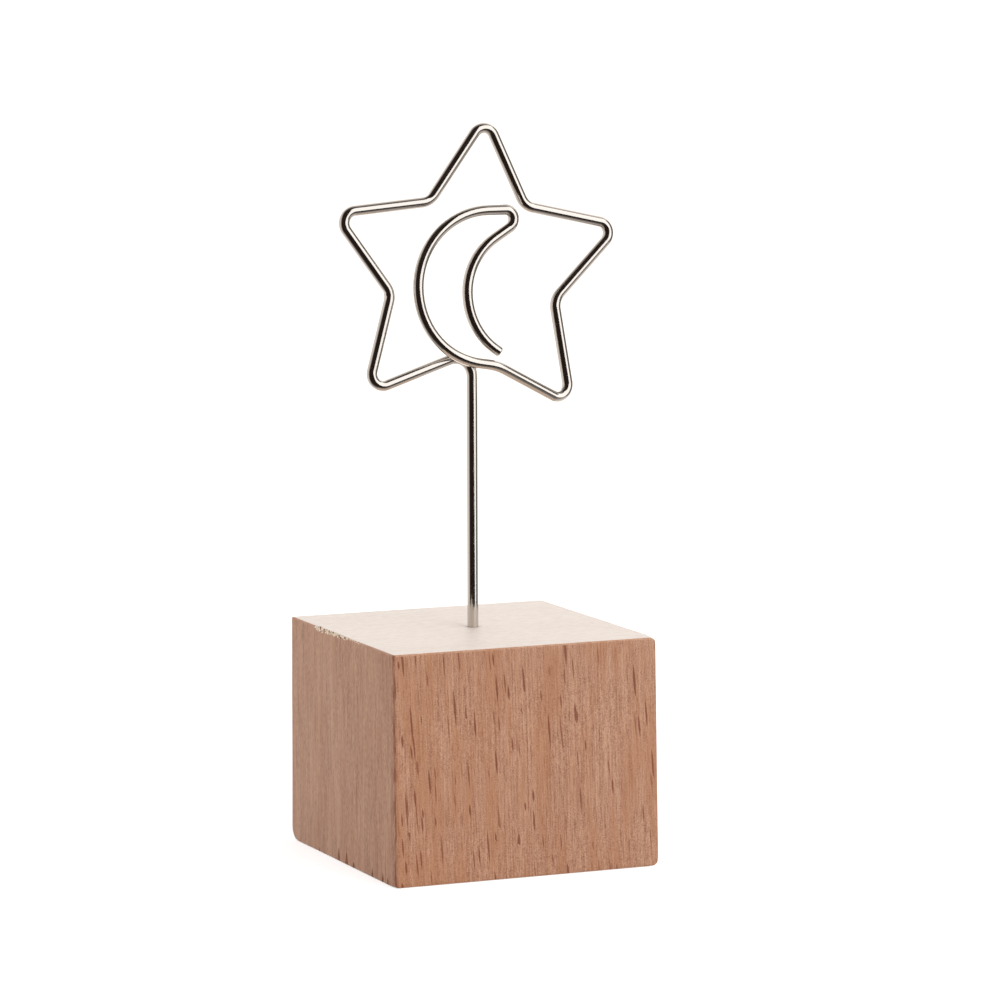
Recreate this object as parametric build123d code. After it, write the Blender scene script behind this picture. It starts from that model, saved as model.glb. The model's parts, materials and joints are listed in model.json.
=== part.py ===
from build123d import *
import os
from math import atan, cos, degrees, radians, sin

# Photo block holder: a sawn beech block that carries one bent wire.
# The wire is a stem, a star in the stem's plane, and a crescent tongue that lies in front of the star.
# A card is held between the crescent and the star.
# Millimetres. X runs to the right, the front faces -Y, Z is up, and the block stands on Z = 0, centred.

# Wood block
BLOCK_WIDTH = 29.8  # left to right, at the top
BLOCK_DEPTH = 29.6  # front to back, at the top
BLOCK_HEIGHT = 24.7
FOOT_FLARE = 0.25  # how far each sawn side leans out at the foot
EDGE_ROUND = 0.25  # rubbed-down edges
HOLE_DEPTH = 15.0
HOLE_OFFSET = 0.15  # drilled by eye, this far to the right of the block's middle
HOLE_CLEARANCE = 0.05  # all round the stem, so that the clip can be turned

# Wire
WIRE_DIAMETER = 1.2
CARD_GAP = 0.3  # from the star to the crescent in front of it, about one photograph
END_ROUND = 0.15  # burr rubbed off the wire's free end

# Bends, as radii of the wire's centre line
STEM_BEND = 2.0  # where the stem turns into the star
TIP_BEND = 1.3  # points of the star
NOTCH_BEND = 2.0  # hollows between the points
SET_BEND = 6.0  # slight set where the lower run comes up to the crescent
HORN_BEND = 1.05  # upper horn of the crescent

# Star: its centre is on the stem's axis, and it was bent by hand, so no two points are alike
STAR_RISE = 38.4  # star's centre, above the block
STEM_TOP = -8.6  # height of the stem's bend, from the star's centre
STAR_CORNERS = [
    # across and up from the star's centre to where two straight runs meet, and the bend there
    (-12.1, -12.6, TIP_BEND),  # lower left point
    (-9.3, -2.1, NOTCH_BEND),
    (-15.7, 6.6, TIP_BEND),  # left point
    (-4.8, 7.5, NOTCH_BEND),
    (1.65, 16.4, TIP_BEND),  # top point
    (6.2, 6.7, NOTCH_BEND),
    (17.25, 4.25, TIP_BEND),  # right point
    (9.6, -3.5, NOTCH_BEND),
    (11.6, -15.0, TIP_BEND),  # lower right point
]

# Crescent: an outer and an inner curve, each of two arcs that meet at its left-hand side
MOON_BACK = (-6.77, -1.45)  # left-hand side of the outer curve, from the star's centre
MOON_BREADTH = 5.65  # from the outer curve to the inner one, at their left-hand sides
OUTER_LOWER_RADIUS = 8.5
OUTER_UPPER_RADIUS = 7.95
INNER_UPPER_RADIUS = 6.65
INNER_LOWER_RADIUS = 7.6
HORN_RUN = 2.0  # straight from the top of the outer curve to the horn's bend
HORN_ANGLE = 32.0  # between the two sides of the horn
INNER_SWEEP = 58.0  # of the inner curve's lower arc, down to the wire's free end
LEAD_ANGLE = 9.0  # slope of the straight lead into the outer curve
LEAD_RUN = 1.9  # from the outer curve back to the corner with the star's lower run
FLEX_RUN = 0.4  # from the outer curve back to the place where the wire flexes

# Places that follow from the sizes
wire_radius = WIRE_DIAMETER / 2
hole_radius = wire_radius + HOLE_CLEARANCE
stem_foot = BLOCK_HEIGHT - HOLE_DEPTH
star_z = BLOCK_HEIGHT + STAR_RISE
moon_y = -(WIRE_DIAMETER + CARD_GAP)


def in_front(across, up):
    """Point in the crescent's plane, from the star's centre."""
    return Vector(HOLE_OFFSET + across, moon_y, star_z + up)


def turned(centre, radius, angle):
    """Point of a circle in the crescent's plane, with the angle counted from +X towards +Z."""
    return centre + Vector(cos(radians(angle)), 0, sin(radians(angle))) * radius


def arc(centre, radius, start, end):
    """Arc in the crescent's plane from one angle to another."""
    middle = (start + end) / 2
    return ThreePointArc(*[turned(centre, radius, angle) for angle in (start, middle, end)])


def bent_wire(path):
    """Round wire along a path of straight runs and tangent arcs."""
    section = Plane(origin=path @ 0, z_dir=path % 0) * Circle(wire_radius)
    return sweep(section, path=path)


# Crescent's centre line, from the lead to the free end
LEFT, TOP, BOTTOM = 180, 90, 270
back = in_front(*MOON_BACK)
outer_lower = back + Vector(OUTER_LOWER_RADIUS, 0, 0)
outer_upper = back + Vector(OUTER_UPPER_RADIUS, 0, 0)
lead_end = turned(outer_lower, OUTER_LOWER_RADIUS, BOTTOM - LEAD_ANGLE)
lead = Vector(cos(radians(LEAD_ANGLE)), 0, -sin(radians(LEAD_ANGLE)))
flex_point = lead_end + lead * FLEX_RUN
lead_corner = lead_end + lead * LEAD_RUN

crown = turned(outer_upper, OUTER_UPPER_RADIUS, TOP)
horn_start = crown + Vector(HORN_RUN, 0, 0)
horn = horn_start - Vector(0, 0, HORN_BEND)
horn_end = turned(horn, HORN_BEND, HORN_ANGLE - TOP)

# The inner curve's height is where its upper arc meets the horn's lower side in one line
join_angle = TOP + HORN_ANGLE
inner_left = back.X + MOON_BREADTH
join_x = inner_left + INNER_UPPER_RADIUS * (1 + cos(radians(join_angle)))
join_z = horn_end.Z - (horn_end.X - join_x) * sin(radians(HORN_ANGLE)) / cos(radians(HORN_ANGLE))
inner_z = join_z - INNER_UPPER_RADIUS * sin(radians(join_angle))
inner_upper = Vector(inner_left + INNER_UPPER_RADIUS, moon_y, inner_z)
inner_lower = Vector(inner_left + INNER_LOWER_RADIUS, moon_y, inner_z)

moon_path = Wire(
    [
        Line(flex_point, lead_end),
        arc(outer_lower, OUTER_LOWER_RADIUS, BOTTOM - LEAD_ANGLE, LEFT),
        arc(outer_upper, OUTER_UPPER_RADIUS, LEFT, TOP),
        Line(crown, horn_start),
        arc(horn, HORN_BEND, TOP, HORN_ANGLE - TOP),
        Line(horn_end, turned(inner_upper, INNER_UPPER_RADIUS, join_angle)),
        arc(inner_upper, INNER_UPPER_RADIUS, join_angle, LEFT),
        arc(inner_lower, INNER_LOWER_RADIUS, LEFT, LEFT + INNER_SWEEP),
    ]
)

# Star's centre line, from the foot of the stem to where the wire flexes
star_path = FilletPolyline(
    (HOLE_OFFSET, 0, stem_foot),
    (HOLE_OFFSET, 0, star_z + STEM_TOP),
    *[(HOLE_OFFSET + across, 0, star_z + up) for across, up, bend in STAR_CORNERS],
    lead_corner,
    flex_point,
    radius=[STEM_BEND, *[bend for across, up, bend in STAR_CORNERS], SET_BEND],
)

# Wood block, sawn a little wider at the foot and drilled from above
foot = Rectangle(BLOCK_WIDTH + 2 * FOOT_FLARE, BLOCK_DEPTH + 2 * FOOT_FLARE)
wood_block = extrude(foot, amount=BLOCK_HEIGHT, taper=degrees(atan(FOOT_FLARE / BLOCK_HEIGHT)))
wood_block = fillet(wood_block.edges(), EDGE_ROUND)
hole = Cylinder(hole_radius, HOLE_DEPTH, align=(Align.CENTER, Align.CENTER, Align.MIN))
wood_block -= Pos(HOLE_OFFSET, 0, stem_foot) * hole

# Wire, in two solids that meet square to the wire where it flexes
star_wire = bent_wire(star_path)
moon_tongue = bent_wire(moon_path)
free_end = moon_tongue.faces().sort_by_distance(moon_path @ 1)[0]
moon_tongue = fillet(free_end.edges(), END_ROUND)

os.makedirs("parts", exist_ok=True)
for name, solid in {"wood_block": wood_block, "star_wire": star_wire, "moon_tongue": moon_tongue}.items():
    export_step(solid, f"parts/{name}.step")

print(f"wire length {star_path.length + moon_path.length:.1f}")
print(f"flex point {flex_point}, along {lead}")
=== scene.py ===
# %% [markdown]
# # A wooden photo block holder
# A sawn beech block carries one nickel-plated wire. The wire is a stem, then a star, and then a crescent
# that lies in front of the star, so that a card can be slipped between the two. The CAD model gives the
# places and sizes. This lesson makes the looks: the timber, its worn edges, the bent wire and its plating.
# Everything is worked out in millimetres, and each finished piece is scaled to metres.

# %% Frame
import json
from math import ceil, cos, pi, radians, sin, tan
from random import Random

import bmesh
import bpy
from mathutils import Matrix, Vector, noise


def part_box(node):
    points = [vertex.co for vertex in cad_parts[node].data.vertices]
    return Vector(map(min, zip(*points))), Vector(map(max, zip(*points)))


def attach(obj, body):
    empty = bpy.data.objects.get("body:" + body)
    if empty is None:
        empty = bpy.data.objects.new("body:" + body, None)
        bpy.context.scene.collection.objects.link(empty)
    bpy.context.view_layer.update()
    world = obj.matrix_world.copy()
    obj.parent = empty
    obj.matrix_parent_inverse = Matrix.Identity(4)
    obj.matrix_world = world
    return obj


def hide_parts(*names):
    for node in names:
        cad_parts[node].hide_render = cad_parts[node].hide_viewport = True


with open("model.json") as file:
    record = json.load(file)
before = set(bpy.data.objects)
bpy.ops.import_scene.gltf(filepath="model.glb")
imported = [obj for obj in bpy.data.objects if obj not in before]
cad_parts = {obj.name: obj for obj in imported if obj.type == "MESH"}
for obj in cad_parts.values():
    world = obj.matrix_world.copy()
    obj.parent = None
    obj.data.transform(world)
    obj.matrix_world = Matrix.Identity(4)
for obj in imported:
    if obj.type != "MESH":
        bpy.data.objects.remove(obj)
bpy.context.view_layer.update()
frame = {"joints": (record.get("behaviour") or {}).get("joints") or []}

MM = 0.001
scene = bpy.context.scene
scene.view_settings.view_transform = "Standard"
joints = {joint["name"]: joint for joint in frame["joints"]}
stem_x = joints["clip_swivel"]["pos_m"][0] / MM
block_low, block_high = [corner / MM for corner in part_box("wood_block")]
block_top = block_high.z

# %% [markdown]
# ## Camera
# The photograph was taken from a little above and from the left, with a long lens. Its place, turn and
# focal length follow from the block's nine visible edges: parallel edges that draw together give the
# distance, and the square foot gives the turn. A camera could be aimed with a Track To constraint, but
# three rotations keep the small roll of the photographer's hand.

# %% Camera
CAMERA_PLACE = Vector((-212.6, -501.7, 108.6)) * MM
CAMERA_TURN = radians(-23.29)
CAMERA_PITCH = radians(7.34)
CAMERA_ROLL = radians(-0.145)
FOCAL_PIXELS = 5120.7
FRAME_PIXELS = 1000
SENSOR = 36

camera_data = bpy.data.cameras.new("photographer")
camera_data.sensor_width = SENSOR
camera_data.lens = SENSOR * FOCAL_PIXELS / FRAME_PIXELS
camera = bpy.data.objects.new("photographer", camera_data)
scene.collection.objects.link(camera)
aim = Matrix.Rotation(CAMERA_TURN, 4, "Z") @ Matrix.Rotation(pi / 2 - CAMERA_PITCH, 4, "X")
camera.matrix_world = Matrix.Translation(CAMERA_PLACE) @ aim @ Matrix.Rotation(CAMERA_ROLL, 4, "Z")
scene.camera = camera
print("lens", round(camera_data.lens, 1), "mm")

# %% [markdown]
# ## Node helpers
# Every finish here is made of shader nodes. They could be placed by hand in the Shader Editor. In a script
# a few small helpers keep the trees readable: they add a node and fill its inputs in order, do one sum,
# make a soft step, or mix two colours. Colours are written as they look on a screen, from 0 to 255, and
# turned into the linear values that Blender works in.

# %% Node helpers


def screen_colour(red, green, blue):
    """Linear colour of a colour as it looks on a screen."""
    parts = [part / 255 for part in (red, green, blue)]
    return [part / 12.92 if part < 0.04 else ((part + 0.055) / 1.055) ** 2.4 for part in parts] + [1]


def fill(tree, sockets, values):
    """Links or sets each socket; None leaves it as it is."""
    for socket, value in zip(sockets, values):
        if isinstance(value, bpy.types.NodeSocket):
            tree.links.new(value, socket)
        elif value is not None:
            socket.default_value = value


def node(tree, kind, *values, **settings):
    """Adds a node with its settings and input values."""
    made = tree.nodes.new(f"ShaderNode{kind}")
    for name, setting in settings.items():
        setattr(made, name, setting)
    fill(tree, made.inputs, values)
    return made


def calc(tree, operation, *values):
    """Result of one sum."""
    return node(tree, "Math", *values, operation=operation).outputs[0]


def step_up(tree, value, none, full):
    """0 up to none, 1 from full onwards, smooth between; none may be the larger."""
    return node(tree, "MapRange", value, none, full, 0, 1, interpolation_type="SMOOTHSTEP").outputs[0]


def mix(tree, amount, first, second):
    """Colour between two colours."""
    made = node(tree, "Mix", amount, data_type="RGBA")
    fill(tree, made.inputs[6:8], (first, second))
    return made.outputs[2]


def tint(tree, amount, share, colour, over):
    """Lays a second colour over the first one, up to a share of it."""
    return mix(tree, calc(tree, "MULTIPLY", amount, share), colour, over)


print("half grey on a screen is", round(screen_colour(128, 128, 128)[0], 3), "in linear light")

# %% [markdown]
# ## Grain
# Beech has straight fibres and, across them, rays: flat ribbons of cells. On a flat-sawn face the ribbons
# are cut through and show as short dark spindles with pointed ends, the surest mark of beech. A picture of
# wood could be wrapped round the block, but its grain would break at every edge, so the grain is worked out
# for each place in space. Fibres are noise drawn out along the grain. For the rays a Voronoi texture
# scatters one point in each cell, and a lens is drawn round that point: its half width shrinks with the
# square of the distance from the middle. Both leave the upright by a few degrees, as the saw cut did. They
# are node groups, because each face of the block uses them with its own sizes.

# %% Fibre group
FIBRE_LEAN = tan(radians(1.5))


def new_group(name, inputs, output):
    """Empty node group, with its input and output sockets."""
    group = bpy.data.node_groups.new(name, "ShaderNodeTree")
    for title, kind in inputs.items():
        group.interface.new_socket(title, in_out="INPUT", socket_type=f"NodeSocket{kind}")
    group.interface.new_socket(output, in_out="OUTPUT", socket_type="NodeSocketFloat")
    given = group.nodes.new("NodeGroupInput").outputs
    return group, given, group.nodes.new("NodeGroupOutput").inputs[0]


def use(tree, group, *values):
    """Result of a node group placed in a material."""
    made = tree.nodes.new("ShaderNodeGroup")
    made.node_tree = group
    fill(tree, made.inputs, values)
    return made.outputs[0]


def fibre_group():
    """Streaks along the grain, of a given width and length in millimetres."""
    sockets = {"Place": "Vector", "Width": "Float", "Length": "Float", "Shift": "Float"}
    group, given, result = new_group("fibres", sockets, "Streak")
    parts = node(group, "SeparateXYZ", given["Place"]).outputs
    across = calc(group, "MULTIPLY_ADD", parts[2], FIBRE_LEAN, parts[0])
    shrunk = [
        calc(group, "DIVIDE", across, given["Width"]),
        calc(group, "DIVIDE", parts[1], given["Width"]),
        calc(group, "DIVIDE", parts[2], given["Length"]),
    ]
    place = node(group, "CombineXYZ", *shrunk).outputs[0]
    place = node(group, "VectorMath", place, given["Shift"], operation="ADD").outputs[0]
    streak = node(group, "TexNoise", place, None, 1, 2, 0.6)
    group.links.new(streak.outputs[0], result)
    return group


fibres = fibre_group()
print("node group", fibres.name, "with", len(fibres.nodes), "nodes")

# %% Ray group
RAY_LEAN = tan(radians(4.5))
RAY_SPACING = (1.3, 9.0, 5.6)  # across, in depth and along the grain
RAY_STAGGER = 1.9  # slope of the rows of cells, so that no two neighbours are level
RAY_EDGE = 0.09  # how soft a ray's outline is
RAY_FAINT = 0.4  # the wider this is, the more of the rays are faint


def ray_group():
    """Spindles of the rays, of a given width and length in millimetres."""
    sockets = {"Place": "Vector", "Width": "Float", "Length": "Float", "Share": "Float"}
    group, given, result = new_group("rays", {**sockets, "Shift": "Float"}, "Ray")
    parts = node(group, "SeparateXYZ", given["Place"]).outputs
    across = calc(group, "MULTIPLY_ADD", parts[2], RAY_LEAN, parts[0])
    staggered = calc(group, "MULTIPLY_ADD", across, RAY_STAGGER, parts[2])
    place = node(group, "CombineXYZ", across, parts[1], staggered).outputs[0]
    place = node(group, "VectorMath", place, given["Shift"], operation="ADD").outputs[0]
    cells = node(group, "VectorMath", place, RAY_SPACING, operation="DIVIDE").outputs[0]
    scatter = node(group, "TexVoronoi", cells, None, 1).outputs
    middle = node(group, "VectorMath", scatter["Position"], RAY_SPACING, operation="MULTIPLY").outputs[0]
    offset = node(group, "VectorMath", place, middle, operation="SUBTRACT").outputs[0]
    away = node(group, "SeparateXYZ", offset).outputs
    chance = node(group, "SeparateColor", scatter["Color"]).outputs
    # Each ray has its own length, width and darkness
    length = calc(group, "MULTIPLY", given["Length"], calc(group, "MULTIPLY_ADD", chance[0], 0.9, 0.35))
    along = calc(group, "MULTIPLY_ADD", away[0], -RAY_STAGGER, away[2])
    along = calc(group, "DIVIDE", along, calc(group, "MULTIPLY", length, 0.5))
    lens = calc(group, "SUBTRACT", 1, calc(group, "MULTIPLY", along, along))
    width = calc(group, "MULTIPLY", given["Width"], calc(group, "MULTIPLY_ADD", chance[1], 0.7, 0.5))
    half = calc(group, "MULTIPLY", calc(group, "MULTIPLY", width, 0.5), lens)
    inside = calc(group, "SUBTRACT", half, calc(group, "ABSOLUTE", away[0]))
    shape = step_up(group, inside, -RAY_EDGE / 2, RAY_EDGE / 2)
    present = step_up(group, calc(group, "SUBTRACT", given["Share"], chance[2]), 0, RAY_FAINT)
    group.links.new(calc(group, "MULTIPLY", shape, present), result)
    return group


rays = ray_group()
print("node group", rays.name, "with", len(rays.nodes), "nodes")

# %% [markdown]
# ## Timber
# One block of beech shows three faces of the same wood. Front and back are flat-sawn, with rays. The two
# sides show fine upright lines. Top and bottom are end grain. The near upright edge has gone dark with
# handling, most of all at its foot. The rim of the top is painted paler: a painted highlight where the
# rounded edge catches the light. One material could tell the faces apart by their normals, but a material
# for each kind of face is easier to read, and the block's faces can be given to them when the block is
# made.

# %% Start of a material
GRAIN_RELIEF = 0.02 * MM


def new_material(name):
    """Material with a Principled shader, and its tree, shader inputs and a place in millimetres."""
    material = bpy.data.materials.new(name)
    material.use_nodes = True
    tree = material.node_tree
    place = node(tree, "TexCoord").outputs["Object"]
    place = node(tree, "VectorMath", place, None, None, 1 / MM, operation="SCALE").outputs[0]
    return material, tree, tree.nodes["Principled BSDF"].inputs, place


def relief(tree, shader, height, strength, depth):
    """Bumps on the surface, as deep as given."""
    bump = node(tree, "Bump", strength, depth)
    fill(tree, [bump.inputs["Height"], shader["Normal"]], [height, bump.outputs[0]])


print("the grain is", GRAIN_RELIEF / MM, "mm deep")

# %% Wear and rays
# Width, length and shift of the streaks that are used for themselves
RAY_COLUMNS = (1.4, 40, 73)
FLECKS = (0.3, 2, 91)
LONG_RAY = (0.24, 3.6)  # width and length
SHORT_RAY = (0.2, 2.6)
SHORT_SHIFT = 37.4  # keeps the short rays off the long ones
CROWDED_LEFT = (9, 15)  # from the middle to the left: where the rays begin to crowd, and where most are
EDGE_SHARES = (1.5, 0.5, 0)  # how fast the wear fades along the front and along the left side
NEAR_EDGE = -30.2  # what these shares add up to at the near upright edge
WEAR_FADE = (0.8, 0.1)
WEAR_HEIGHT = 5  # the wear gets stronger below this
LOW_WEAR, ANY_WEAR, FLECK_WEAR = 0.9, 0.12, 1.1


def ray_marks(tree, place, share):
    """Long and short rays, crowded in some columns and towards the left-hand edge."""
    left = calc(tree, "MULTIPLY", node(tree, "SeparateXYZ", place).outputs[0], -1)
    column = step_up(tree, use(tree, fibres, place, *RAY_COLUMNS), 0.42, 0.58)
    crowd = calc(tree, "ADD", column, step_up(tree, left, *CROWDED_LEFT))
    share = calc(tree, "MULTIPLY_ADD", crowd, share, share * 0.5)
    longer = use(tree, rays, place, *LONG_RAY, share, 0)
    return calc(tree, "MAXIMUM", longer, use(tree, rays, place, *SHORT_RAY, share, SHORT_SHIFT))


def handled(tree, place):
    """Dark wear along the near upright edge, most of it low down."""
    height = node(tree, "SeparateXYZ", place).outputs[2]
    apart = node(tree, "VectorMath", place, EDGE_SHARES, operation="DOT_PRODUCT").outputs["Value"]
    apart = calc(tree, "SUBTRACT", apart, NEAR_EDGE)
    flecks = step_up(tree, use(tree, fibres, place, *FLECKS), 0.47, 0.58)
    low_down = calc(tree, "MULTIPLY_ADD", step_up(tree, height, WEAR_HEIGHT, 0), LOW_WEAR, ANY_WEAR)
    share = calc(tree, "MULTIPLY_ADD", flecks, FLECK_WEAR, low_down)
    return calc(tree, "MULTIPLY", step_up(tree, apart, *WEAR_FADE), share)


print("long rays of about", LONG_RAY[1], "mm")

# %% Long grain
DEEP = screen_colour(144, 88, 59)
LIGHT = screen_colour(204, 158, 128)
ORANGE = screen_colour(178, 116, 75)
RUSSET = screen_colour(140, 80, 55)
RAY_BROWN = screen_colour(121, 50, 16)
# Width, length and strength of each kind of streak
FLAT_STREAKS = [(0.17, 25, 1.1), (0.15, 2.5, 1.1), (0.13, 0.8, 0.9), (0.13, 0.13, 1.8)]
SIDE_STREAKS = [(1.8, 16, 0.7), (0.38, 12, 0.75), (0.2, 4, 1.3), (0.13, 0.5, 1.9)]
FIRST_SHIFT, NEXT_SHIFT = 7, 19  # so that no two kinds of streak fall together
WARM_BANDS = (1.3, 11, 57)  # width, length and shift
HAIRS = (0.08, 1, 41)
NEAR_GLOW = 0.12  # how much warmer the wood is at the near edge
GLOW_FADE = (12, -14)
WEAR_SHARE = 0.65
RAY_SHARE = 0.8


def streak_tone(tree, place, streaks, tone):
    """Light and dark of all the streaks together, about a middle tone."""
    for number, (width, length, strength) in enumerate(streaks):
        streak = use(tree, fibres, place, width, length, FIRST_SHIFT + NEXT_SHIFT * number)
        tone = calc(tree, "MULTIPLY_ADD", calc(tree, "SUBTRACT", streak, 0.5), strength, tone)
    return tone


def long_grain(name, streaks, middle=0.5, warmth=0.45, painted_light_drift=0, ray_share=0, wear_and_shade=0):
    """Beech along the grain: middle tone, warm bands, painted light that makes it paler away from the near
    edge, rays, wear, and a dark tint that is wear on the upright edges and painted shade in the nicks."""
    material, tree, shader, place = new_material(name)
    parts = node(tree, "SeparateXYZ", place).outputs
    along = calc(tree, "ADD", calc(tree, "ADD", parts[0], parts[1]), block_high.x)
    # Painted light: the tone gets paler away from the near edge, a painted light gradient across each face
    tone = streak_tone(tree, place, streaks, calc(tree, "MULTIPLY_ADD", along, painted_light_drift, middle))
    warm = use(tree, fibres, place, *WARM_BANDS)
    hairs = use(tree, fibres, place, *HAIRS)
    colour = mix(tree, tone, DEEP, LIGHT)
    colour = tint(tree, step_up(tree, warm, 0.42, 0.66), warmth, colour, ORANGE)
    colour = tint(tree, step_up(tree, along, *GLOW_FADE), NEAR_GLOW, colour, ORANGE)
    colour = tint(tree, handled(tree, place), WEAR_SHARE, colour, RUSSET)
    # Dark tint: wear on the upright edges, and painted shade in the nicks
    colour = tint(tree, step_up(tree, warm, 0.2, 0.5), wear_and_shade, colour, RAY_BROWN)
    if ray_share:
        colour = tint(tree, ray_marks(tree, place, ray_share), RAY_SHARE, colour, RAY_BROWN)
    roughness = calc(tree, "MULTIPLY_ADD", hairs, 0.2, 0.4)
    fill(tree, [shader["Base Color"], shader["Roughness"]], [colour, roughness])
    relief(tree, shader, hairs, 0.5, GRAIN_RELIEF)
    return material


beech_flat = long_grain("beech_flat", FLAT_STREAKS, 0.58, painted_light_drift=0.002, ray_share=0.52)
beech_side = long_grain("beech_side", SIDE_STREAKS, 0.68, warmth=0.3, painted_light_drift=0.006)
beech_worn = long_grain("beech_worn", FLAT_STREAKS, wear_and_shade=0.2)
# Painted highlight: a paler copy of the long grain for the rim of the top, where the rounded edge catches
# the light
beech_rim_highlight = long_grain("beech_rim_highlight", FLAT_STREAKS, 0.85)
# Painted shade: the nicks get a darker copy of the long grain, for the shade inside them
beech_nick_shade = long_grain("beech_nick_shade", FLAT_STREAKS, wear_and_shade=0.4)
print("long grain:", [beech.name for beech in (beech_flat, beech_side, beech_worn, beech_rim_highlight, beech_nick_shade)])

# %% [markdown]
# ## End grain
# On the top the saw cut across the grain. Open ends of vessels are its pores, and the growth rings show as
# faint dashes. In the photograph this face is nearly white, because it is seen at a low angle: the cut ends
# stand like a nap, and the rubbed surface gives back the white wall behind it. White paint would do for
# that one view. Wood under a sheen and a hazy coat looks white from there, and like wood from above.

# %% End grain
END_PALE = screen_colour(239, 218, 199)
END_DARK = screen_colour(197, 165, 142)
END_NAP = 0.45
END_POLISH = 0.9
END_HAZE = 0.62
END_ROUGHNESS = 0.5
DASH_SCALE = (1.1, 4.2, 1)  # dashes for each millimetre, across and in depth
RING_SCALE = (0.04, 0.45, 1)
PORE_SCALE = 5.5
RING_SHARE, DASH_SHARE, PORE_SHARE = 0.3, 0.48, 0.25
# Painted shade: a brown ring round the stem's foot, for the shade there
HOLE_SHADE_BROWN = screen_colour(150, 102, 74)
HOLE_SHADE_SHARE = 0.6
HOLE_SHADE_FADE = (1.2, 0.6)  # from the stem's axis


def end_grain():
    """Beech across the grain: pores, dashes along the growth rings, and painted shade at the stem's foot.
    """
    material, tree, shader, place = new_material("beech_end")
    dashes = node(tree, "VectorMath", place, DASH_SCALE, operation="MULTIPLY").outputs[0]
    dashes = node(tree, "TexNoise", dashes, None, 1, 3, 0.65).outputs[0]
    rings = node(tree, "VectorMath", place, RING_SCALE, operation="MULTIPLY").outputs[0]
    rings = node(tree, "TexNoise", rings, None, 1, 2, 0.5).outputs[0]
    pores = node(tree, "TexVoronoi", place, None, PORE_SCALE).outputs["Distance"]
    shade = calc(tree, "MULTIPLY", rings, RING_SHARE)
    shade = calc(tree, "MULTIPLY_ADD", step_up(tree, dashes, 0.38, 0.68), DASH_SHARE, shade)
    shade = calc(tree, "MULTIPLY_ADD", step_up(tree, pores, 0.35, 0.1), PORE_SHARE, shade)
    stem_foot = (stem_x, 0, block_top)
    from_stem = node(tree, "VectorMath", place, stem_foot, operation="DISTANCE").outputs["Value"]
    colour = mix(tree, shade, END_PALE, END_DARK)
    colour = tint(tree, step_up(tree, from_stem, *HOLE_SHADE_FADE), HOLE_SHADE_SHARE, colour, HOLE_SHADE_BROWN)
    fill(tree, [shader["Base Color"]], [colour])
    shader["Roughness"].default_value = END_ROUGHNESS
    shader["Sheen Weight"].default_value = END_NAP
    shader["Sheen Roughness"].default_value = END_HAZE
    shader["Coat Weight"].default_value = END_POLISH
    shader["Coat Roughness"].default_value = END_HAZE
    relief(tree, shader, calc(tree, "ADD", pores, dashes), 0.3, GRAIN_RELIEF)
    return material


beech_end = end_grain()
timber = [beech_flat, beech_side, beech_end, beech_worn, beech_rim_highlight]
FLAT, SIDE, END, WORN, RIM_HIGHLIGHT = range(len(timber))
print("timber:", [material.name for material in timber])

# %% [markdown]
# ## Block
# The block is a sawn cuboid, a touch wider at the foot and not quite true, with edges rubbed down by hand
# and some corners rounded off. A cube with a Bevel modifier would look machined. Here the cube's eight
# corners are put where the saw left them, and its faces are divided into a grid, so that after the bevel
# the points can be pressed in: a little everywhere, by noise, and more round some corners. Every move goes
# inwards, so the block never grows out of the part's CAD box.

# %% Block body
GRID_CUTS = 55
EDGE_ROUND = 0.2
EDGE_STEPS = 4
EDGE_ANGLE = radians(45)
UPRIGHT_LEAN = 0.38  # a face that leans this far both ways belongs to an upright edge
RIM_RISE, RIM_LEAN = 0.15, 0.3  # a face that leans this far up and outwards belongs to the rim
# Where each upright edge stands, across and in depth: at the foot and at the top
UPRIGHTS = {
    (-1, -1): ((-15.07, -15.04), (-15.14, -14.82)),
    (1, -1): ((15.26, -15.04), (14.98, -14.82)),
    (-1, 1): ((-15.14, 15.04), (-15.1, 14.8)),
    (1, 1): ((15.15, 15.04), (14.8, 14.8)),
}


def corner_place(across, depth, upper):
    """Where the saw left a corner; across and depth are -1 or 1, upper is 0 or 1."""
    return Vector((*UPRIGHTS[across, depth][upper], upper * block_top))


def block_body():
    """Bevelled block, with its faces given to the timber's materials."""
    bm = bmesh.new()
    bmesh.ops.create_cube(bm, size=2)
    for vert in bm.verts:
        vert.co = corner_place(round(vert.co.x), round(vert.co.y), round(vert.co.z) > 0)
    bmesh.ops.subdivide_edges(bm, edges=bm.edges, cuts=GRID_CUTS, use_grid_fill=True)
    sharp = [edge for edge in bm.edges if edge.calc_face_angle() > EDGE_ANGLE]
    bmesh.ops.bevel(
        bm, geom=sharp, offset=EDGE_ROUND, affect="EDGES", segments=EDGE_STEPS, profile=0.5, material=-1
    )
    bm.normal_update()
    for face in bm.faces:
        lean = [abs(part) for part in face.normal]
        face.material_index = (SIDE, FLAT, END)[lean.index(max(lean))]
        if min(lean[:2]) > UPRIGHT_LEAN:
            face.material_index = WORN
        elif face.normal.z > RIM_RISE and max(lean[:2]) > RIM_LEAN:
            face.material_index = RIM_HIGHLIGHT
    return bm


block = block_body()
print("block:", len(block.faces), "faces")

# %% Rubbed faces and rounded corners
RUB = 0.03  # deepest unevenness
RUB_SCALE = 0.16  # hollows and swells for each millimetre
PRESSED = 0.004  # points pressed closer together than this become one
# Which corner, the axis that it is rounded about, the radius there, and how far along the axis it fades
ROUNDED = [
    ((-1, 1, 0), 0, 2.0, 5.0),
    ((1, -1, 0), 1, 1.0, 4.0),
    ((1, -1, 1), 1, 0.8, 3.0),
    ((1, 1, 1), 2, 1.0, 4.0),
    ((1, 1, 0), 1, 1.2, 4.0),
    ((-1, -1, 0), 1, 0.5, 2.5),
]


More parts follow.
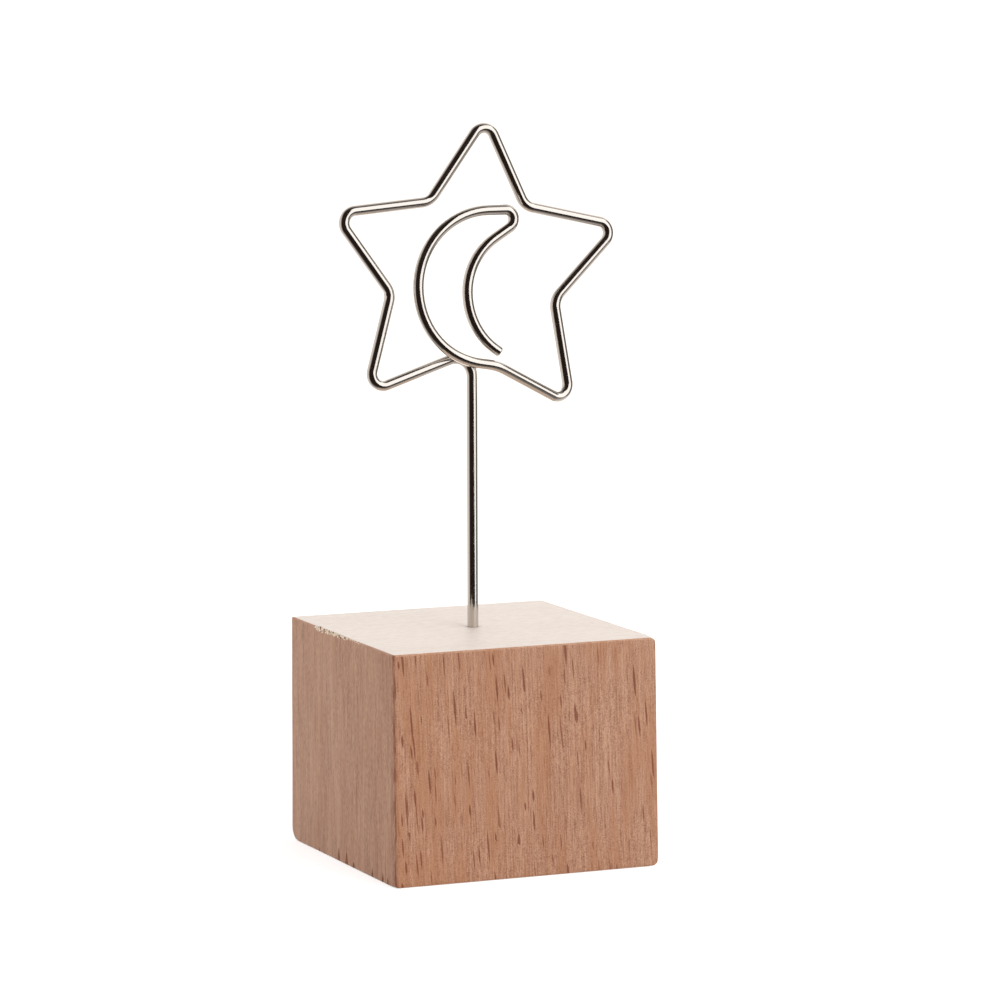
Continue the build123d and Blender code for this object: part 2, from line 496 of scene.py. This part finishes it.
def rub_down(bm):
    """Presses the points inwards by noise, except under the foot, which stays flat."""
    for vert in bm.verts:
        if vert.co.z > 0:
            depth = RUB * (0.5 + 0.5 * noise.noise(vert.co * RUB_SCALE))
            vert.co -= vert.normal * depth


def round_off(bm, corner, axis, radius, reach):
    """Presses the points near a corner onto a cone about one axis."""
    place = corner_place(*corner)
    inwards = Vector((-corner[0], -corner[1], 1 - 2 * corner[2]))
    inwards[axis] = 0
    for vert in bm.verts:
        size = radius * (1 - abs(vert.co[axis] - place[axis]) / reach)
        if size > 0:
            away = vert.co - place - inwards * size
            away[axis] = 0
            beyond = [away[side] * inwards[side] < 0 for side in range(3) if side != axis]
            if all(beyond) and away.length > size:
                vert.co -= away.normalized() * (away.length - size)


rub_down(block)
for rounding in ROUNDED:
    round_off(block, *rounding)
bmesh.ops.dissolve_degenerate(block, edges=block.edges, dist=PRESSED)
print("rounded corners:", len(ROUNDED))

# %% [markdown]
# ## Hole, nicks and torn edge
# The stem's hole is drilled from above. The saw left nicks along the lower left edge, and tore a row of
# chips out of the upper left edge. Painted marks would vanish at the block's outline, so they are cut with
# one Boolean: a drill, wedges and rough pebbles are made as cutters, all in one mesh, and the faces that
# they leave take the cutters' material.

# %% Drill and nicks
HOLE_RADIUS = 0.65
HOLE_DEPTH = 15.0
HOLE_SIDES = 40
NICK_DEPTH = 0.3
NICK_SIDES = 5
NICK_TIP = 0.3  # share of a nick's width that is left at its top
NICK_FACE = 1  # second of the cutters' two materials
# Where along the lower left edge each nick is, its width and its height
NICKS = [
    (6.8, 0.6, 0.4),
    (1.1, 1.2, 1.4),
    (-1.2, 1.2, 1.4),
    (-3.2, 1.1, 0.7),
    (-8.5, 0.9, 1.0),
    (-11.4, 1.1, 1.1),
    (-12.8, 0.8, 0.8),
]


def drill(bm):
    """Cylinder of the stem's hole, reaching out above the block."""
    above = 1
    middle = Matrix.Translation((stem_x, 0, block_top - HOLE_DEPTH / 2 + above / 2))
    bmesh.ops.create_cone(
        bm, cap_ends=True, segments=HOLE_SIDES, radius1=HOLE_RADIUS, radius2=HOLE_RADIUS,
        depth=HOLE_DEPTH + above, matrix=middle,
    )


def nick(bm, along, width, height):
    """Wedge that points up from the foot."""
    below = 0.2
    size = Matrix.Diagonal((NICK_DEPTH, width / 2, height + below, 1))
    middle = Matrix.Translation((block_low.x, along, height / 2 - below / 2))
    made = bmesh.ops.create_cone(
        bm, cap_ends=True, segments=NICK_SIDES, radius1=1, radius2=NICK_TIP, depth=1, matrix=middle @ size
    )
    for face in {face for vert in made["verts"] for face in vert.link_faces}:
        face.material_index = NICK_FACE


cutters = bmesh.new()
drill(cutters)
for nick_place in NICKS:
    nick(cutters, *nick_place)
print("drill and nicks:", len(cutters.faces), "faces")

# %% Chips
TORN_STRETCH = (7.3, -6.0)  # from back to front along the upper left edge
CHIPS = 30
CHIP_SIZES = [(0.12, 0.36), (0.25, 0.6), (0.25, 0.5)]  # smallest and largest, across, along and down
CHIP_ROUGHNESS = 0.35
CHIP_START, CHIP_FADE = 1.3, 0.95  # size of the chips at the back, and how much they lose to the front
SEED = 7
torn_x = UPRIGHTS[-1, 1][1][0]


def torn_place(share):
    """Place along the torn stretch, from 0 at its back to 1 at its front."""
    return TORN_STRETCH[0] + share * (TORN_STRETCH[1] - TORN_STRETCH[0])


def chip(bm, along, strength, chance):
    """Rough pebble on the upper left edge."""
    size = Vector([chance.uniform(*limits) for limits in CHIP_SIZES]) * strength
    middle = Vector((torn_x, along, block_top))
    middle += Vector((chance.uniform(-0.05, 0.08), 0, -chance.uniform(0, 0.15)))
    made = bmesh.ops.create_icosphere(bm, subdivisions=2, radius=1)["verts"]
    for vert in made:
        rough = 1 + CHIP_ROUGHNESS * noise.noise(vert.co * 2.5 + middle * 3)
        vert.co = middle + vert.co * size * rough


chance = Random(SEED)
for number in range(CHIPS):
    share = (number + chance.uniform(-0.4, 0.4)) / (CHIPS - 1)
    chip(cutters, torn_place(share), CHIP_START - CHIP_FADE * share, chance)
print("all cutters:", len(cutters.faces), "faces")

# %% Torn wood
TORN_PALE = screen_colour(250, 234, 212)
TORN_SHADE = screen_colour(146, 98, 70)
TORN_PIT_SHADE = (0.3, 0.3, 5)  # width, length and shift
TORN_ROUGHNESS = 0.7


def torn_wood():
    """Bare fibres where the edge has broken away, with dark spots of painted shade in its pits."""
    material, tree, shader, place = new_material("beech_torn")
    # Painted shade: dark spots stand for the shade in the torn wood's pits
    pits = step_up(tree, use(tree, fibres, place, *TORN_PIT_SHADE), 0.53, 0.6)
    fill(tree, [shader["Base Color"]], [mix(tree, pits, TORN_PALE, TORN_SHADE)])
    shader["Roughness"].default_value = TORN_ROUGHNESS
    return material


beech_torn = torn_wood()
print("torn wood:", beech_torn.name)

# %% Cutting
SHARP_ANGLE = radians(35)


def make_piece(name, bm, materials):
    """Object at the origin, from a bmesh in millimetres."""
    bmesh.ops.scale(bm, vec=(MM, MM, MM), verts=bm.verts)
    mesh = bpy.data.meshes.new(name)
    bm.to_mesh(mesh)
    bm.free()
    for material in materials:
        mesh.materials.append(material)
    piece = bpy.data.objects.new(name, mesh)
    scene.collection.objects.link(piece)
    return piece


def shade_smooth(piece):
    """Smooth shading, with sharp edges kept."""
    piece.data.shade_smooth()
    piece.data.set_sharp_from_angle(angle=SHARP_ANGLE)


def cut_away(piece, tool):
    """Takes the tool's shape out of the piece for good."""
    cut = piece.modifiers.new("cut", "BOOLEAN")
    cut.object = tool
    cut.solver = "EXACT"
    cut.use_self = True
    cut.material_mode = "TRANSFER"
    ready = piece.evaluated_get(bpy.context.evaluated_depsgraph_get())
    mesh = bpy.data.meshes.new_from_object(ready)
    mesh.name = piece.name
    piece.modifiers.clear()
    piece.data = mesh
    bpy.data.objects.remove(tool)


beech_block = make_piece("beech_block", block, timber)
cut_away(beech_block, make_piece("cutters", cutters, [beech_torn, beech_nick_shade]))
shade_smooth(beech_block)
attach(beech_block, "block")
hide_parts("wood_block")
print("beech_block:", len(beech_block.data.polygons), "faces")

# %% [markdown]
# ## Torn fibres
# Wood does not chip cleanly: where the edge broke away, short crumbs of fibre are left standing with the
# grain. A particle system could scatter them, but then they would not be a mesh of their own. Here each is
# a small four-sided spike, sunk at its root into the block, and all of them together are one piece. Most
# stand towards the back, where the chips are largest.

# %% Torn fibres
CRUMBS = 45
CRUMB_LENGTHS = (0.15, 0.35)
CRUMB_GIRTHS = (0.07, 0.15)
CRUMB_CROWD = 1.4  # above 1, more of them stand towards the back


def crumb(bm, chance):
    """Small spike with its root in the torn edge, leaning out a little."""
    length = chance.uniform(*CRUMB_LENGTHS)
    girth = chance.uniform(*CRUMB_GIRTHS)
    along = torn_place(chance.random() ** CRUMB_CROWD)
    root = Vector((torn_x + chance.uniform(0.1, 0.25), along, block_top))
    root.z -= length + chance.uniform(0.05, 0.45)
    turn = Matrix.Rotation(radians(chance.uniform(-14, 2)), 4, "Y")
    turn @= Matrix.Rotation(radians(chance.uniform(-25, 25)), 4, "X")
    place = Matrix.Translation(root) @ turn @ Matrix.Translation((0, 0, length / 2))
    bmesh.ops.create_cone(
        bm, cap_ends=True, segments=4, radius1=girth, radius2=girth / 4, depth=length, matrix=place
    )


crumbs = bmesh.new()
for number in range(CRUMBS):
    crumb(crumbs, chance)
torn_fibres = make_piece("torn_fibres", crumbs, [beech_torn])
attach(torn_fibres, "block")
print("torn_fibres:", len(torn_fibres.data.polygons), "faces")

# %% [markdown]
# ## Plating
# The wire is drawn steel with bright nickel plate. Nickel is warmer than chrome, and that shows where it
# mirrors something white. A metal of one even roughness would look too perfect. The real plate follows
# the drawn wire's faint pits, so its reflections have slightly ragged edges, and a weak bump does that. A
# coarser noise in the roughness makes the plate a little duller where it was handled.

# %% Nickel
NICKEL = (0.66, 0.62, 0.575, 1)
PIT_DEPTH = 0.004 * MM
PIT_SCALE = 6  # pits for each millimetre
HANDLING_SCALE = 0.7
BRIGHT, DULL = 0.05, 0.14  # roughness


def nickel_plate():
    """Bright nickel with faint pits."""
    material, tree, shader, place = new_material("nickel_plate")
    pits = node(tree, "TexNoise", place, None, PIT_SCALE, 3, 0.6).outputs[0]
    handling = node(tree, "TexNoise", place, None, HANDLING_SCALE, 3, 0.6).outputs[0]
    roughness = node(tree, "MapRange", handling, 0.3, 0.7, BRIGHT, DULL).outputs[0]
    shader["Base Color"].default_value = NICKEL
    shader["Metallic"].default_value = 1
    fill(tree, [shader["Roughness"]], [roughness])
    relief(tree, shader, pits, 0.5, PIT_DEPTH)
    return material


nickel = nickel_plate()
print("plating:", nickel.name)

# %% [markdown]
# ## Bending the wire
# The clip is one wire, bent by hand round pegs. A curve with a round bevel could stand for it, but its
# corners would be guesses. Here the mesh is made in the way that the wire is: a ring of points is fed
# straight ahead by an extrude, and turned about a peg by a spin. The inside of each tight bend keeps a
# slight flat from its peg.

# %% Wire bender
WIRE_SIDES = 32
BEND_STEP = radians(5)
WITHIN_CAD = 0.002  # keeps the wire's points inside the CAD wire
LAST_RING = 0.99  # share of a bend after which the wire stays round, for the next run to start from
wire_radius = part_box("star_wire")[1].y / MM - WITHIN_CAD


class WireBender:
    """Feeds and bends one round wire, and keeps its place and heading."""

    def __init__(self, place, heading):
        self.bm = bmesh.new()
        self.place = Vector(place)
        self.heading = Vector(heading).normalized()
        turn = self.heading.to_track_quat("Z", "Y").to_matrix().to_4x4()
        start = Matrix.Translation(self.place) @ turn
        made = bmesh.ops.create_circle(self.bm, segments=WIRE_SIDES, radius=wire_radius, matrix=start)
        self.ring = list({edge for vert in made["verts"] for edge in vert.link_edges})
        self.first = self.ring

    def keep_ring(self, made):
        """Takes the newest ring of edges out of what an operator made."""
        points = {item for item in made if isinstance(item, bmesh.types.BMVert)}
        edges = [item for item in made if isinstance(item, bmesh.types.BMEdge)]
        self.ring = [edge for edge in edges if points.issuperset(edge.verts)]
        return list(points)

    def feed(self, length):
        """Pushes the wire straight on."""
        points = self.keep_ring(bmesh.ops.extrude_edge_only(self.bm, edges=self.ring)["geom"])
        bmesh.ops.translate(self.bm, verts=points, vec=self.heading * length)
        self.place = self.place + self.heading * length
        return points

    def bend(self, axis, radius, angle, flat=0):
        """Turns the wire about a peg; the flat is how deep the peg presses into it at mid-bend."""
        axis = Vector(axis).normalized()
        start = axis.cross(self.heading) * -radius
        peg = self.place - start
        before = set(self.bm.verts)
        points = {vert for edge in self.ring for vert in edge.verts}
        made = bmesh.ops.spin(
            self.bm, geom=[*points, *self.ring], cent=peg, axis=axis, angle=angle,
            steps=ceil(angle / BEND_STEP), use_merge=False, use_duplicate=False,
        )
        self.keep_ring(made["geom_last"])
        for vert in set(self.bm.verts) - before:
            away = vert.co - peg
            away -= axis * away.dot(axis)
            share = start.angle(away) / angle
            gap = radius - wire_radius + flat * sin(pi * share) - away.length
            if gap > 0 and share < LAST_RING:
                vert.co += away.normalized() * gap
        turn = Matrix.Rotation(angle, 3, axis)
        self.place = peg + turn @ (self.place - peg)
        self.heading = turn @ self.heading

    def follow(self, corners):
        """Straight runs with a bend at each corner, up to the last point."""
        places = [corner for corner, radius, flat in corners]
        for (corner, radius, flat), after in zip(corners, places[1:]):
            ahead = (after - corner).normalized()
            angle = self.heading.angle(ahead)
            self.feed((corner - self.place).length - radius * tan(angle / 2))
            self.bend(self.heading.cross(ahead), radius, angle, flat)
        self.feed((places[-1] - self.place).length)

    def close(self, ring):
        """Flat end."""
        bmesh.ops.edgeloop_fill(self.bm, edges=ring)


print("wire radius", round(wire_radius, 3), "mm")

# %% [markdown]
# ## Star and stem
# The corners are where the straight runs of the wire would meet, measured from the star's centre. No two
# points of the star are alike, because it was bent by hand. The last run leaves the star's plane and comes
# forward to the crescent. It ends at the place where the wire twists when a card is pushed in: there the
# CAD model has its hinge, and the joint's own record gives the spot and the wire's direction.

# %% Star and stem
STAR_CENTRE = 63.1  # above the table
STEM_TOP = -8.6  # from the star's centre
STEM_BEND = 2.0
TIP_BEND = 1.3
NOTCH_BEND = 2.0
SET_BEND = 6.0  # slight set where the last run comes up to the crescent
LEAD_RUN = 1.9  # from the crescent's curve back to the corner with the lower run
FLEX_RUN = 0.4  # from the crescent's curve back to the place where the wire twists
PEG_FLAT = 0.05
DEEP_FLAT = 0.1
# Across, up, the radius of the bend and the peg's flat
STAR_CORNERS = [
    (-12.1, -12.6, TIP_BEND, 0),
    (-9.3, -2.1, NOTCH_BEND, DEEP_FLAT),
    (-15.7, 6.6, TIP_BEND, 0),
    (-4.8, 7.5, NOTCH_BEND, PEG_FLAT),
    (1.65, 16.4, TIP_BEND, 0),
    (6.2, 6.7, NOTCH_BEND, PEG_FLAT),
    (17.25, 4.25, TIP_BEND, 0),
    (9.6, -3.5, NOTCH_BEND, PEG_FLAT),
    (11.6, -15.0, TIP_BEND, 0),
]

flex_point = Vector(joints["tongue_flex"]["pos_m"]) / MM
lead = Vector(joints["tongue_flex"]["axis"])


def star_and_stem():
    """The wire from the foot of the stem to the place where it twists."""
    foot = Vector((stem_x, 0, block_top - HOLE_DEPTH))
    corners = [(Vector((stem_x, 0, STAR_CENTRE + STEM_TOP)), STEM_BEND, 0)]
    for across, up, radius, flat in STAR_CORNERS:
        corners.append((Vector((stem_x + across, 0, STAR_CENTRE + up)), radius, flat))
    corners.append((flex_point + lead * (LEAD_RUN - FLEX_RUN), SET_BEND, 0))
    corners.append((flex_point, 0, 0))
    wire = WireBender(foot, (0, 0, 1))
    wire.follow(corners)
    wire.close(wire.first)
    wire.close(wire.ring)
    return wire


wire = star_and_stem()
print("star ends", round((wire.place - flex_point).length, 4), "mm from the joint")
bmesh.ops.recalc_face_normals(wire.bm, faces=wire.bm.faces)
star_clip = make_piece("star_clip", wire.bm, [nickel])
shade_smooth(star_clip)
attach(star_clip, "star")
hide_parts("star_wire")

# %% [markdown]
# ## Crescent
# The crescent is the wire's free end, and the card's spring. It could be drawn as a flat outline, but it is
# easier to check as a list of moves, as on a bending machine: feed, bend one way for the outer curve and
# the horn, feed, and bend the other way for the inner curve. The shears that cut the wire left a slight
# lip round its end.

# %% Crescent
OUTER_LOWER = (8.5, radians(81))  # radius and angle of each bend
OUTER_UPPER = (7.95, radians(90))
HORN = (1.05, radians(148))
INNER_UPPER = (6.65, radians(58))
INNER_LOWER = (7.6, radians(58))
HORN_RUN = 2.0  # from the top of the outer curve to the horn
MOON_BREADTH = 5.65  # from the outer curve to the inner one, at their left-hand sides
CUT_END = [(0.06, 0.99), (0.07, 0.92), (0.04, 0.76), (-0.03, 0.68)]  # feeds and sizes of its rim
INWARDS, OUTWARDS = Vector((0, 1, 0)), Vector((0, -1, 0))  # axes of the two ways of bending


def run_to_inner_curve():
    """Straight run from the horn that brings the inner curve to its place."""
    slope = pi - HORN[1]
    horn_x = OUTER_UPPER[0] + HORN_RUN + HORN[0] * sin(slope)
    join_x = MOON_BREADTH + INNER_UPPER[0] * (1 - sin(slope))
    return (horn_x - join_x) / cos(slope)


def sheared_end(wire):
    """Rounded rim and shallow dish of the cut end."""
    for length, size in CUT_END:
        points = wire.feed(length)
        grow = Matrix.Translation(wire.place) @ Matrix.Scale(size, 4) @ Matrix.Translation(-wire.place)
        bmesh.ops.transform(wire.bm, matrix=grow, verts=points)
    wire.close(wire.ring)


def crescent():
    """The wire from the place where it twists to its free end."""
    wire = WireBender(flex_point, -lead)
    wire.feed(FLEX_RUN)
    wire.bend(INWARDS, *OUTER_LOWER)
    wire.bend(INWARDS, *OUTER_UPPER)
    wire.feed(HORN_RUN)
    wire.bend(INWARDS, *HORN)
    wire.feed(run_to_inner_curve())
    wire.bend(OUTWARDS, *INNER_UPPER)
    wire.bend(OUTWARDS, *INNER_LOWER)
    wire.close(wire.first)
    sheared_end(wire)
    return wire


wire = crescent()
print("free end at", [round(part, 2) for part in wire.place])
bmesh.ops.recalc_face_normals(wire.bm, faces=wire.bm.faces)
moon_clip = make_piece("moon_clip", wire.bm, [nickel])
shade_smooth(moon_clip)
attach(moon_clip, "tongue")
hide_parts("moon_tongue")

# %% [markdown]
# ## Floor
# The block stands on a plain white sheet. A shadow catcher could stand for it, but a real sheet also throws
# light back at the block. It is lit like everything else, so the block's shadow falls on it, and for the
# camera it adds a little light of its own, so that its far parts are as white as the background. The wire
# does not mirror the sheet, because it would hide the dark half of the studio.

# %% Floor
FLOOR_REACH = 8.0  # metres
FLOOR_GLOW = 0.56
PAPER_WHITE = (0.8, 0.8, 0.8, 1)
floor_bm = bmesh.new()
bmesh.ops.create_circle(floor_bm, cap_ends=True, segments=64, radius=FLOOR_REACH / MM)
sheet = bpy.data.materials.new("white_sheet")
sheet.use_nodes = True
paper = sheet.node_tree.nodes["Principled BSDF"].inputs
paper["Base Color"].default_value = PAPER_WHITE
paper["Roughness"].default_value = 1
paper["Specular IOR Level"].default_value = 0
paper["Emission Color"].default_value = (1, 1, 1, 1)
seen = node(sheet.node_tree, "LightPath").outputs["Is Camera Ray"]
glow = calc(sheet.node_tree, "MULTIPLY", seen, FLOOR_GLOW)
fill(sheet.node_tree, [paper["Emission Strength"]], [glow])
floor = make_piece("floor", floor_bm, [sheet])
floor.visible_glossy = False
print("floor", 2 * FLOOR_REACH, "m across")

# %% [markdown]
# ## Light
# Round the table stand white walls, and they are the fill light: the camera and the wire see them bright,
# and everything else gets a softer, even share of them. In front the studio is dark, and there is a grey
# gap on the right: without them bright metal on white would have no outline. A large soft lamp stands
# three metres away, in front on the right and above the camera. A photographed studio could be used, but
# the wire itself told where all this is, because every part of a round wire mirrors another direction.

# %% Studio walls
FILL_LIGHT = 0.76
WALL_WHITE = (1.5, 1.48, 1.46, 1)
WALL_WARM = (0.95, 0.88, 0.84, 1)
DARK = (0.024, 0.016, 0.013, 1)
GAP_GREY = (0.06, 0.055, 0.05, 1)
GAP_SHARE = 0.82
# How far each one is to the right of the camera and above it, where it starts to fade and where it ends
WHITE_WALL = (180, 8, 31, 75)
GREY_GAP = (100, 6, 27, 35)
DARK_FRONT = (-7, 4, 58, 122)
LEFT_WALL = (-114, -2, 18, 62)
right, up, to_camera = [camera.matrix_world.col[number].xyz for number in range(3)]


def towards(sideways, upwards):
    """Direction seen from the wire, as angles to the right of the camera and above it."""
    level = cos(radians(upwards))
    place = to_camera * cos(radians(sideways)) * level + right * sin(radians(sideways)) * level
    return place + up * sin(radians(upwards))


world = bpy.data.worlds.new("studio")
scene.world = world
world.use_nodes = True
tree = world.node_tree
direction = node(tree, "TexCoord").outputs["Generated"]


def facing(sideways, upwards, full, none):
    """1 within an angle of a direction, 0 beyond another angle, in degrees."""
    goal = towards(sideways, upwards)
    near = node(tree, "VectorMath", direction, goal, operation="DOT_PRODUCT").outputs["Value"]
    return step_up(tree, near, cos(radians(none)), cos(radians(full)))


wall = mix(tree, facing(*WHITE_WALL), WALL_WARM, WALL_WHITE)
wall = tint(tree, facing(*GREY_GAP), GAP_SHARE, wall, GAP_GREY)
wall = mix(tree, facing(*DARK_FRONT), wall, DARK)
wall = mix(tree, facing(*LEFT_WALL), wall, WALL_WARM)
path = node(tree, "LightPath").outputs
mirrored = calc(tree, "MAXIMUM", path["Is Glossy Ray"], path["Is Transmission Ray"])
colour = mix(tree, mirrored, (FILL_LIGHT, FILL_LIGHT, FILL_LIGHT, 1), wall)
colour = mix(tree, path["Is Camera Ray"], colour, (1, 1, 1, 1))
fill(tree, [tree.nodes["Background"].inputs["Color"]], [colour])
print("studio walls:", len(tree.nodes), "nodes")

# %% Lamp
LAMP_AWAY = 3.0
LAMP_SIZE = (3.15, 3.63)
LAMP_WATTS = 54
LAMP_PLACE = (51, 18)  # to the right of the camera and above it, in degrees
LAMP_ROLL = radians(-9)
WIRE_MIDDLE = Vector((0, 0, 60)) * MM

lamp_data = bpy.data.lights.new("soft_lamp", "AREA")
lamp_data.shape = "RECTANGLE"
lamp_data.size, lamp_data.size_y = LAMP_SIZE
lamp_data.energy = LAMP_WATTS
lamp = bpy.data.objects.new("soft_lamp", lamp_data)
scene.collection.objects.link(lamp)
lamp_direction = towards(*LAMP_PLACE)
lamp_turn = lamp_direction.to_track_quat("Z", "Y").to_matrix().to_4x4()
lamp_turn @= Matrix.Rotation(LAMP_ROLL, 4, "Z")
lamp.matrix_world = Matrix.Translation(WIRE_MIDDLE + lamp_direction * LAMP_AWAY) @ lamp_turn
lamp.visible_camera = False
print("lamp at", [round(part, 2) for part in lamp.location])
